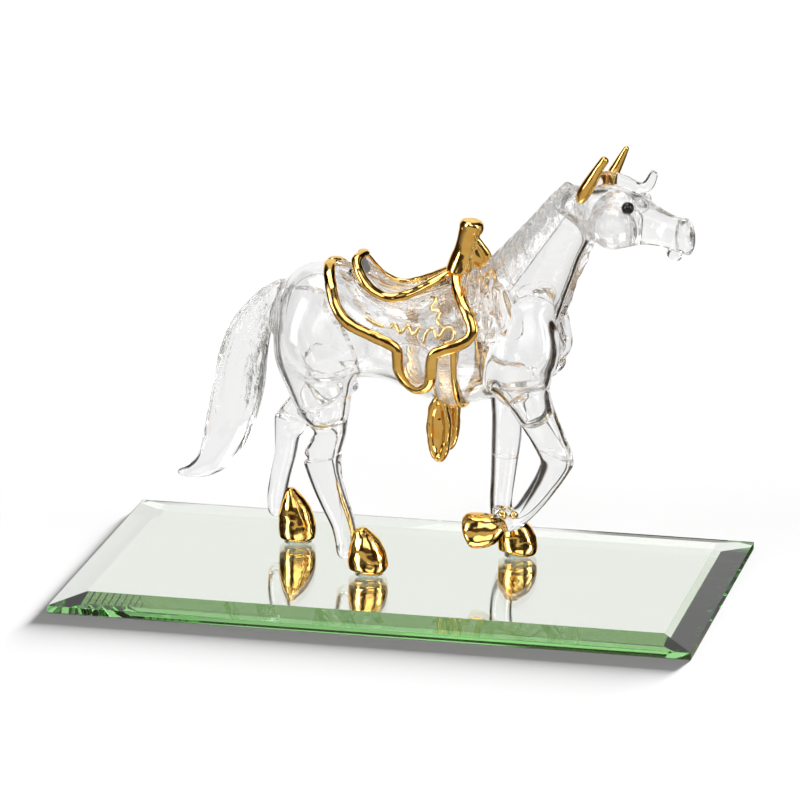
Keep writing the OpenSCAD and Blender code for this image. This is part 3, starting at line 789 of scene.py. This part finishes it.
def cut_pieces(whole):
    """The skin cut into its named pieces. Cut faces carry material index 1."""
    left, made = whole, {}
    for name, solid in CUTTERS.items():
        cutter = to_mesh("cutter_" + name, [solid], 1)
        made[name] = split(left, cutter, "INTERSECT")
        left = split(left, cutter, "DIFFERENCE")
    made["torso"] = left
    return made


# ---- materials


WHITE = (1, 1, 1, 1)


def new_material(name, **values):
    """A material as (material, tree, Principled shader). Values go to the shader's sockets, with _
    for a space in their names."""
    made = bpy.data.materials.new(name)
    made.use_nodes = True
    tree = made.node_tree
    shader = tree.nodes["Principled BSDF"]
    for socket, value in values.items():
        shader.inputs[socket.replace("_", " ")].default_value = value
    return made, tree, shader


def add(tree, kind, links=None, **values):
    """A node with its inputs linked or set, by name."""
    made = tree.nodes.new("ShaderNode" + kind)
    for name, value in values.items():
        if name in made.bl_rna.properties:
            setattr(made, name, value)
        else:
            made.inputs[name.replace("_", " ")].default_value = value
    for name, source in (links or {}).items():
        tree.links.new(source, made.inputs[name])
    return made


def places(tree):
    """Object coordinates, which are the row frame in metres."""
    return add(tree, "TexCoord").outputs["Object"]


def noise(tree, where, scale, detail=2.0, distortion=0.0):
    return add(tree, "TexNoise", {"Vector": where}, Scale=scale, Detail=detail,
               Distortion=distortion).outputs["Fac"]


def ramp(tree, source, *stops):
    """A colour ramp: stops are (position, value or colour)."""
    made = add(tree, "ValToRGB", {"Fac": source})
    elements = made.color_ramp.elements
    while len(elements) < len(stops):
        elements.new(0.5)
    for element, (at, value) in zip(elements, stops):
        element.position = at
        element.color = (value,) * 3 + (1,) if isinstance(value, (int, float)) else (*value, 1)
    return made.outputs["Color"]


def bump(tree, height, strength, distance, below=None):
    links = {"Height": height}
    if below is not None:
        links["Normal"] = below
    return add(tree, "Bump", links, Strength=strength, Distance=distance).outputs["Normal"]


def maths(tree, operation, *terms):
    """A Math node's result; each term is a number or an output."""
    made = add(tree, "Math", operation=operation)
    for socket, term in zip(made.inputs, terms):
        if isinstance(term, (int, float)):
            socket.default_value = term
        else:
            tree.links.new(term, socket)
    return made.outputs[0]


def mottle(shader, socket, pattern, *stops):
    """Drives one of the shader's sockets by a ramp over noise; pattern is (scale, detail, ...)."""
    tree = shader.id_data
    shade = ramp(tree, noise(tree, places(tree), *pattern), *stops)
    tree.links.new(shade, shader.inputs[socket])


def ripple(shader, pattern, strength, distance, below=None):
    """Bends the shader's normal by noise; below is a finer bump under this one."""
    tree = shader.id_data
    normal = bump(tree, noise(tree, places(tree), *pattern), strength, distance, below)
    tree.links.new(normal, shader.inputs["Normal"])
    return normal


def glass_material(name, cords, comb=0.0):
    """Clear borosilicate glass. cords is the strength of the faint waves that drawing leaves; comb
    adds the fine strands tooled into hair."""
    made, tree, shader = new_material(name, Base_Color=WHITE, Roughness=0.0, IOR=1.472,
                                      Transmission_Weight=1.0)
    normal = ripple(shader, (70, 1.5, 0.4), cords, 0.002)
    if comb:
        where = places(tree)
        bent = add(tree, "Mapping", {"Vector": where}, Rotation=(0, math.radians(24), 0),
                   Scale=(1.0, 1.0, 0.28))
        strands = noise(tree, bent.outputs["Vector"], 480, 2.5, 0.9)
        height = add(tree, "SeparateXYZ", {"Vector": where}).outputs["Z"]
        combed = maths(tree, "MULTIPLY", strands, ramp(tree, height, (0.050, 0.0), (0.075, 1.0)))
        tree.links.new(bump(tree, combed, comb, 0.001, normal), shader.inputs["Normal"])
    return made


clear_glass = glass_material("clear_glass", 0.02)
combed_glass = glass_material("combed_glass", 0.05, 0.7)

fused_weld, _, _ = new_material("fused_weld", Base_Color=WHITE, Alpha=0.0, Roughness=0.0)


def gold_material(name, thin, thick, rough):
    """Fired gold. Its colour goes from thin film to thick film, and rough is (least, most)."""
    made, _, shader = new_material(name, Metallic=1.0, Specular_Tint=(1, 0.93, 0.75, 1))
    middle = tuple((a + b) / 2 for a, b in zip(thin, thick))
    mottle(shader, "Base Color", (190, 3, 0.6), (0.3, thin), (0.55, middle), (0.75, thick))
    mottle(shader, "Roughness", (900, 3), (0.35, rough[0]), (0.7, rough[1]))
    fine = ripple(shader, (2400, 2), 0.03, 0.0002)
    ripple(shader, (300, 1.5, 0.3), 0.07, 0.0008, fine)
    return made


gold = gold_material("bright_gold", (0.90, 0.51, 0.12), (1.0, 0.69, 0.25), (0.05, 0.15))
gilt_wash = gold_material("gilt_wash", (0.97, 0.68, 0.27), (1.0, 0.80, 0.42), (0.22, 0.34))

jet, _, jet_shader = new_material("black_glass", IOR=1.5)
mottle(jet_shader, "Base Color", (900,), (0.3, (0.004, 0.004, 0.005)), (0.8, (0.016, 0.015, 0.017)))
mottle(jet_shader, "Roughness", (2500,), (0.3, 0.03), (0.8, 0.09))

plate_glass, plate_tree, plate_shader = new_material(
    "plate_glass", Base_Color=WHITE, Roughness=0.0, IOR=1.52, Transmission_Weight=1.0)
ripple(plate_shader, (14, 1), 0.006, 0.001)
absorption = add(plate_tree, "VolumeAbsorption", Color=(0.16, 0.93, 0.03, 1), Density=9.0)
plate_tree.links.new(absorption.outputs["Volume"],
                     plate_tree.nodes["Material Output"].inputs["Volume"])

silver, _, silver_shader = new_material("silver_film", Metallic=1.0)
mottle(silver_shader, "Base Color", (25, 4), (0.3, (0.955, 0.915, 0.935)),
       (0.7, (0.97, 0.925, 0.95)))
mottle(silver_shader, "Roughness", (400, 4), (0.55, 0.0), (0.9, 0.03))

paint, _, paint_shader = new_material("backing_paint", Roughness=0.55)
mottle(paint_shader, "Base Color", (300, 4), (0.3, (0.16, 0.17, 0.17)), (0.8, (0.23, 0.24, 0.24)))
ripple(paint_shader, (1500, 3), 0.3, 0.0002)

adhesive, _, adhesive_shader = new_material(
    "clear_adhesive", Base_Color=(0.80, 0.93, 0.84, 1), Roughness=0.06, IOR=1.49,
    Transmission_Weight=0.85)
ripple(adhesive_shader, (700, 2), 0.15, 0.0004)

# ---- pieces of clear glass


class Skin:
    """The fused skin, asked for its smooth normal at places on it."""

    def __init__(self, mesh):
        mesh.calc_loop_triangles()
        self.co = coordinates(mesh)
        self.normals = outward(mesh).astype(float)
        self.corners = read(mesh.loop_triangles, "vertices", 3, np.int32)
        self.tree = BVHTree.FromPolygons(self.co.tolist(), self.corners.tolist())

    def normals_at(self, points):
        found = [self.tree.find_nearest(p) for p in points.tolist()]
        spot = np.array([f[0] for f in found])
        corners = self.corners[[f[2] for f in found]]
        a, b, c = (self.co[corners[:, k]] for k in range(3))
        across = np.cross(b - a, c - a)
        area = np.maximum((across**2).sum(1), 1e-18)
        v = (np.cross(c - b, spot - b) * across).sum(1) / area
        w = (np.cross(a - c, spot - c) * across).sum(1) / area
        share = np.stack([v, w, 1 - v - w], 1)
        n = (share[:, :, None] * self.normals[corners]).sum(1)
        return n / np.maximum(np.linalg.norm(n, axis=1), 1e-9)[:, None]


def keep_flow(mesh, skin_of_all):
    """Gives the outer faces the whole skin's normals, so that no weld shows as a line."""
    material = read(mesh.polygons, "material_index", 1, np.int32)
    size = read(mesh.polygons, "loop_total", 1, np.int32)
    corner = read(mesh.loops, "vertex_index", 1, np.int32)
    outer_corner = np.repeat(material == 0, size)
    normals = np.repeat(read(mesh.polygons, "normal", 3), size, axis=0).astype(float)
    used = np.unique(corner[outer_corner])
    table = np.zeros((len(mesh.vertices), 3))
    table[used] = skin_of_all.normals_at(coordinates(mesh)[used])
    normals[outer_corner] = table[corner[outer_corner]]
    mesh.normals_split_custom_set(normals.tolist())


def place(name, mesh, materials, slot, *nodes):
    """Puts a finished piece in the row frame, in place of its CAD nodes."""
    mesh.transform(TO_FRAME)
    return place_in_frame(name, mesh, materials, slot, *nodes)


def place_in_frame(name, mesh, materials, slot, *nodes):
    mesh.name = name
    obj = bpy.data.objects.new(name, mesh)
    collection.objects.link(obj)
    mesh.materials.clear()
    for made in materials:
        mesh.materials.append(made)
    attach(obj, "root")
    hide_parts(*nodes)
    return obj


whole = split(melted_skin(), hollow(), "DIFFERENCE")
skin_of_all = Skin(whole)
for name, mesh in cut_pieces(whole).items():
    keep_flow(mesh, skin_of_all)
    hair = name in ("tail", "mane_crest")
    place("glass_" + name, mesh, [combed_glass if hair else clear_glass, fused_weld],
          "clear_glass", name)
bpy.data.meshes.remove(whole)

# ---- gilded pieces


def hand_made(mesh, depth, size):
    """Gives a drawn piece the slight swells that a hand leaves, size millimetres long."""
    co = coordinates(mesh)
    lift = np.array([fractal(Vector(p / size), 1, 2, 2) for p in co])
    set_coordinates(mesh, co + depth * lift[:, None] * outward(mesh))


STIRRUP_X, STIRRUP_MIDDLE = 12.8, 53.2
# The paddle's slices: (height, half depth)
PADDLE = [(64, 1.6), (60, 3), (53, 3.3), (46, 3.3), (43, 2.6)]


def stirrup_solids(y):
    """A pressed paddle in a round-edged loop."""
    paddle = [(STIRRUP_X, y, z, deep, 1) for z, deep in PADDLE]
    middle = np.array([STIRRUP_X, y, STIRRUP_MIDDLE])
    turn = np.radians(np.arange(0, 360, 20))
    loop = middle + np.stack([3 * np.sin(turn), np.zeros(18), 11 * np.cos(turn)], 1)
    return [loft(paddle, 20, 6), thread(loop, 2.1, 1.5, lambda p: middle, 16, 4, closed=True)]


def edge_path():
    """The whole edge of the seat, its left half mirrored from the right."""
    near_half = np.array(SEAT_EDGE, float)
    far_half = near_half[-2:0:-1] * (1, -1, 1)
    return np.vstack([near_half, far_half])


TRIM_WIDE, TRIM_TALL, TRIM_LIFT = 2.2, 1.15, 1.1


def seat_rim():
    return thread(edge_path(), 1.9, 1.3, lambda p: np.array([p[0], 0, 92]), 16, 7, wander=0.06,
                  closed=True)


def horn_solids():
    """The horn, the web under it and the fin of the fork."""
    foot = np.array([18.0, 0, 112])
    return [loft(HORN, 36, 8, 0, 1.2),
            loft(HORN_WEB, 32, 6, 0, 1.5, LENGTHWISE),
            thread(HORN_FIN, 1.7, 1.7, lambda p: foot, 16, 6)]


def gilded_thread(path, side, wide, tall, lift):
    return torso_thread(path, side, wide, tall, lift, sides=16, steps=7, wander=0.05)


def trim(side):
    """The trim round a skirt and its fender, with the front end that rises to the horn's foot."""
    head = [on_torso(22.8, 46, side, 1.1), on_torso(20.4, 31, side, 1.6),
            on_torso(18.6, 18, side, 2.6), np.array([17.4, side * 2.2, 109.4])]
    return [gilded_thread(TRIM, side, TRIM_WIDE, TRIM_TALL, TRIM_LIFT),
            thread(head, TRIM_WIDE, TRIM_TALL, torso_axis, 16, 7)]


def scrollwork(side):
    return [torso_thread(line, side, 0.8, 0.5, 1.85, wander=0.1) for line in SCROLLS]


# Gilded pieces: (solids, depth of the swells that a hand leaves)
GILDED = {
    "ear_right": ([loft(EAR_RIGHT, 28, 8, 1, 1.2)], 0.10),
    "ear_left": ([loft(EAR_LEFT, 28, 8, 1, 1.2)], 0.10),
    **{name: ([loft(line, 48, 8, 0, 1.6)], 0.2) for name, line in HOOVES.items()},
    "seat_rim": ([seat_rim()], 0.05),
    "horn": (horn_solids(), 0.14),
    **pair("trim", lambda side: (trim(side), 0.04)),
    "girth_trim": ([gilded_thread(GIRTH_TRIM, LEFT, 1.2, 1.0, 0.8)], 0.10),
    "stirrup_right": (stirrup_solids(STIRRUP_PLACES[0]), 0.4),
    "stirrup_left": (stirrup_solids(STIRRUP_PLACES[1]), 0.4),
    **pair("scrollwork", lambda side: (scrollwork(side), 0.06)),
}
SWELL_LENGTH = 4.5
for name, (solids, swell) in GILDED.items():
    mesh = fuse(name, [to_mesh(name, solids)], FINE_VOXEL)
    relax(mesh, 7)
    hand_made(mesh, swell, SWELL_LENGTH)
    relax(mesh, 3)
    for face in mesh.polygons:
        face.use_smooth = True
    place("gilt_" + name, mesh, [gilt_wash if name.startswith("scroll") else gold], "bright_gold",
          name)

# ---- eyes

for side, name in ((RIGHT, "eye_right"), (LEFT, "eye_left")):
    place("bead_" + name, to_mesh(name, [ball((79, side * 7.0, 136.6), 2.2)]), [jet],
          "black_glass", name)

# ---- mirror base

BEVEL_WIDTH, BEVEL_DROP = 11.5 * MM, 2.5 * MM
SILVER_SINK = 0.03 * MM  # the film sits this far inside the glass, so that no air shows between


def slab(name, low, high, *levels):
    """A closed solid of rectangles stacked from the bottom up; levels are (inset, height)."""
    corners = []
    for inset, z in levels:
        x0, x1, y0, y1 = low.x + inset, high.x - inset, low.y + inset, high.y - inset
        corners += [(x0, y0, z), (x1, y0, z), (x1, y1, z), (x0, y1, z)]
    faces = [(0, 3, 2, 1)]
    for i in range(0, len(corners) - 4, 4):
        faces += [(i + k, i + (k + 1) % 4, i + 4 + (k + 1) % 4, i + 4 + k) for k in range(4)]
    faces.append(tuple(range(len(corners) - 4, len(corners))))
    mesh = bpy.data.meshes.new(name)
    mesh.from_pydata(corners, [], faces)
    return mesh


plate_mesh = slab("plate", plate_low, plate_high, (0, plate_low.z), (0, PLATE_TOP - BEVEL_DROP),
                  (BEVEL_WIDTH, PLATE_TOP))
plate = place_in_frame("plate_glass_bevelled", plate_mesh, [plate_glass], "plate_glass",
                       "mirror_plate")
arris = plate.modifiers.new("arris", "BEVEL")
arris.width, arris.segments, arris.limit_method = 0.12 * MM, 2, "ANGLE"
arris.angle_limit = math.radians(8)

back_low, back_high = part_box("mirror_backing")
backing_mesh = slab(
    "backing", back_low, back_high, (0.15 * MM, back_low.z), (0.05 * MM, back_low.z + 0.1 * MM),
    (0.05 * MM, back_high.z - 0.02 * MM), (0.25 * MM, back_high.z + SILVER_SINK))
backing = place_in_frame("silver_and_paint", backing_mesh, [paint, silver], "silvering",
                         "mirror_backing")
backing.data.polygons[len(backing.data.polygons) - 1].material_index = 1

for end, side in (("hind", "right"), ("hind", "left"), ("fore", "left")):
    name = f"adhesive_{end}_{side}"
    sole = np.array(HOOVES[f"{end}_hoof_{side}"][0], float)
    reach = sole[4] + 0.6
    profile = [(reach, 0.01), (reach, 0.1), (reach - 0.25, 0.3), (reach - 0.55, 0.5),
               (reach - 0.7, 0.62)]
    turn = 2 * math.pi * np.arange(64) / 64
    rings = [
        np.stack([sole[0] + r * np.cos(turn) * (1 + 0.03 * np.sin(3 * turn)),
                  sole[1] + r * np.sin(turn) * (1 + 0.03 * np.sin(2 * turn)), np.full(64, z)], 1)
        for r, z in profile
    ]
    place("bond_" + name, to_mesh(name, [skin(rings)]), [adhesive], "clear_adhesive", name)

# ---- stage, light and camera

CAMERA_TURN, CAMERA_RISE = math.radians(12.946), math.radians(16.482)
CAMERA_AIM = Vector((0.0120, -0.0618, 0.0856))
CAMERA_DISTANCE = 2.05
LENS = 270.3

floor_mesh = bpy.data.meshes.new("floor")
floor_mesh.from_pydata([(-5, -5, 0), (5, -5, 0), (5, 5, 0), (-5, 5, 0)], [], [(0, 1, 2, 3)])
floor = bpy.data.objects.new("floor", floor_mesh)
collection.objects.link(floor)


def bearing(tree, point):
    """How far round the object a place lies: 0.5 is straight behind it, 0 and 1 are in front."""
    parts = add(tree, "SeparateXYZ", {"Vector": point}).outputs
    angle = maths(tree, "ARCTAN2", parts["X"], parts["Y"])
    whole_turn = 2 * math.pi
    turned = maths(tree, "MULTIPLY_ADD", angle, 1 / whole_turn, 0.5 + CAMERA_TURN / whole_turn)
    return maths(tree, "FRACT", turned)


def round_tent(tree, where, stops):
    """A ramp round the light tent: stops are (degrees from straight behind, brightness)."""
    return ramp(tree, where, *[((turn + 180) / 360, value) for turn, value in stops])


def both_sides(*stops):
    """Stops given for one side of the tent, with the same ones on the other side."""
    return [(-turn, value) for turn, value in stops[::-1]] + list(stops)


def combined(tree, kind, first, second):
    """Two colours multiplied or added."""
    made = add(tree, "MixRGB", {"Color1": first, "Color2": second}, blend_type=kind, Fac=1.0)
    return made.outputs[0]


SHADE = (0.030, 0.018, 0.010)  # the warm dark of the flags and of the room
# The floor is pale paint to the camera. To every other ray it glows with painted light as part of
# the light tent, with painted dark flags at its sides that draw the edges of clear glass.
ROOM_FLOOR = (0.58, 0.53, 0.40)
FLOOR_FLAGS = [(34, 0.90), (43, SHADE), (70, SHADE), (110, 0.22)]
FLOOR_TENT = both_sides(*FLOOR_FLAGS, (140, ROOM_FLOOR), (180, ROOM_FLOOR))
FLOOR_THROUGH_GLASS = both_sides(*FLOOR_FLAGS, (128, 0.88), (180, 0.88))
floor_paint_and_glow, floor_tree, floor_shader = new_material(
    "floor", Roughness=0.9, Specular_IOR_Level=0.0)
mottle(floor_shader, "Base Color", (2, 2), (0.3, 0.41), (0.7, 0.43))
round_floor = bearing(floor_tree, places(floor_tree))
floor_rays = add(floor_tree, "LightPath").outputs
# The painted glow is paler to rays through glass than in the gold's reflections: seen from behind,
# the front floor shows through the glass as pale; the gold mirrors it warmer.
tent_colour = add(floor_tree, "MixRGB", {
    "Fac": floor_rays["Is Transmission Ray"],
    "Color1": round_tent(floor_tree, round_floor, FLOOR_TENT),
    "Color2": round_tent(floor_tree, round_floor, FLOOR_THROUGH_GLASS),
}).outputs[0]
# Painted light: the floor's glow, seen by every ray but the camera's
glow = add(floor_tree, "Emission", {"Color": tent_colour})
floor_mix = add(floor_tree, "MixShader", {"Fac": floor_rays["Is Camera Ray"]})
floor_tree.links.new(glow.outputs[0], floor_mix.inputs[1])
floor_tree.links.new(floor_shader.outputs[0], floor_mix.inputs[2])
floor_tree.links.new(floor_mix.outputs[0], floor_tree.nodes["Material Output"].inputs["Surface"])
floor_paint_and_glow.cycles.emission_sampling = "NONE"
floor_mesh.materials.append(floor_paint_and_glow)


def lamp(name, kind, power, place_at, aim=(0, 0, 0), only=None, blockers=None):
    """A lamp. only limits what it lights and blockers what shades it."""
    data = bpy.data.lights.new(name, kind)
    data.energy = power
    obj = bpy.data.objects.new(name, data)
    collection.objects.link(obj)
    obj.location = place_at
    obj.rotation_euler = (Vector(aim) - Vector(place_at)).to_track_quat("-Z", "Y").to_euler()
    for objects, field in ((only, "receiver_collection"), (blockers, "blocker_collection")):
        if objects:
            group = bpy.data.collections.new(name + "_" + field)
            for o in objects:
                group.objects.link(o)
            setattr(obj.light_linking, field, group)
    return data


pieces = [o for o in collection.objects if o.type == "MESH" and o != floor]
softbox = lamp("top_softbox", "AREA", 9, (-0.2, -0.1, 1.5), (0, 0, 0.05), pieces)
softbox.shape = "RECTANGLE"
softbox.size, softbox.size_y = 1.1, 0.8
# Light grazing over the plate from behind leaves the soft shadow in front of it.
wash = lamp("floor_wash", "SUN", 37.6, (0.46, 1.946, 0.317), (0, 0, 0), [floor], [plate, backing])
wash.angle = math.radians(11)

world = bpy.data.worlds.new("light_tent")
scene.world = world
world.use_nodes = True
sky = world.node_tree
view = add(sky, "TexCoord").outputs["Generated"]
round_sky = bearing(sky, view)
# The sine of the elevation, -1 to 1, brought to a ramp's 0 to 1
elevation = add(sky, "SeparateXYZ", {"Vector": view}).outputs["Z"]
up_the_wall = maths(sky, "MULTIPLY_ADD", elevation, 0.5, 0.5)


def panel(stops, *heights):
    """Light on the tent wall: its brightness round the object times its share of each height, as
    (sine of the elevation, share)."""
    share = ramp(sky, up_the_wall, *[((z + 1) / 2, value) for z, value in heights])
    return combined(sky, "MULTIPLY", round_tent(sky, round_sky, stops), share)


# A white wall behind the object between black flags, a softbox over that wall, and in front two
# tall strip lights and high panels round the camera.
behind = panel(both_sides((24, 0.92), (35, 0.90), (44, SHADE)), (0.42, 1.0), (0.50, 0.05))
rear_softbox = panel(both_sides((20, 0.95), (28, 0.0)), (0.42, 0.0), (0.50, 1.0), (0.62, 1.0),
                     (0.68, 0.78), (0.92, 0.78), (0.96, 0.0))
strips = panel([(-132, 0.0), (-130, 6.0), (-114, 6.0), (-112, 0.0), (112, 0.0), (114, 6.0),
                (126, 6.0), (128, 0.0)], (0.02, 0.0), (0.08, 1.0), (0.60, 1.0), (0.68, 0.0))
front = panel(both_sides((90, 0.0), (96, 0.5), (137, 1.0), (141, 0.03), (159, 0.03), (163, 2.2),
                         (180, 2.2)), (0.28, 0.02), (0.40, 1.0), (0.74, 1.0), (0.84, 0.1))
total = behind
for more in (rear_softbox, strips, front):
    total = combined(sky, "ADD", total, more)
backdrop = add(sky, "MixRGB", {"Fac": add(sky, "LightPath").outputs["Is Camera Ray"],
                               "Color1": total}, Color2=WHITE)
sky.links.new(backdrop.outputs[0], sky.nodes["Background"].inputs["Color"])

lens_data = bpy.data.cameras.new("camera")
lens_data.lens = LENS
lens_data.clip_start, lens_data.clip_end = 0.05, 30
camera = bpy.data.objects.new("camera", lens_data)
collection.objects.link(camera)
back = Vector((math.sin(CAMERA_TURN) * math.cos(CAMERA_RISE),
               -math.cos(CAMERA_TURN) * math.cos(CAMERA_RISE), math.sin(CAMERA_RISE)))
camera.location = CAMERA_AIM + back * CAMERA_DISTANCE
camera.rotation_mode = "QUATERNION"
camera.rotation_quaternion = (-back).to_track_quat("-Z", "Y")
scene.camera = camera
scene.view_settings.view_transform = "Standard"
# Light has to cross many glass faces before it leaves the horse or the plate.
scene.cycles.max_bounces = 40
scene.cycles.glossy_bounces = 32
scene.cycles.transmission_bounces = 40
scene.cycles.transparent_max_bounces = 64
